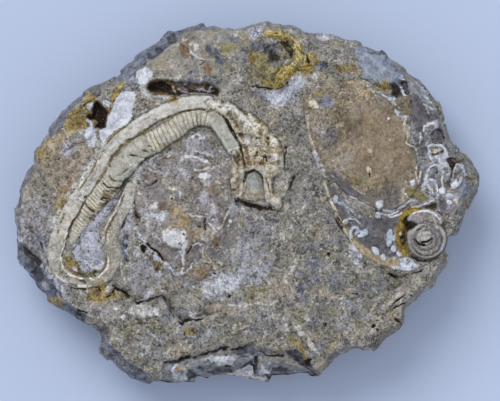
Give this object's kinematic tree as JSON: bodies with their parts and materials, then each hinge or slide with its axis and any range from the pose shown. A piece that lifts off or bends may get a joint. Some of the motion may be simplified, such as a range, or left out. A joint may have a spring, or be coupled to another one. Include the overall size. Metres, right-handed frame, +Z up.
{
  "type": "fossil serpulid worm tube in matrix",
  "caption": "Looped fossil worm tube on a broken slab of flinty rock, with oyster shells let into the face. Lies flat on its underside.",
  "frame": {"origin": "centre of the slab's bounding box, on the surface it rests on", "axes": "+X along the slab's length, from the tube's hairpin end to the end with the coiled shell; +Y across the slab; +Z up, out of the fossil face"},
  "size_m": [0.1254, 0.0964, 0.0305],
  "materials": {
    "rock": "rough, mottled grey and olive",
    "tube": "matt, pale greenish buff, ribbed",
    "tube_infill": "matt grey green",
    "oyster": "satin, brown and grey chalcedony",
    "flinty_shell": "semi-gloss, brown and blue grey chalcedony",
    "coil": "satin, mauve grey",
    "ochre": "satin, golden ochre"
  },
  "bodies": {
    "root": {"rock_slab": "rock", "worm_tube": "tube", "tube_mouth_plug": "tube_infill", "middle_oyster_shell": "oyster", "right_oyster_shell": "flinty_shell", "coiled_shell": "coil", "ochre_shell": "ochre"}
  },
  "joints": []
}
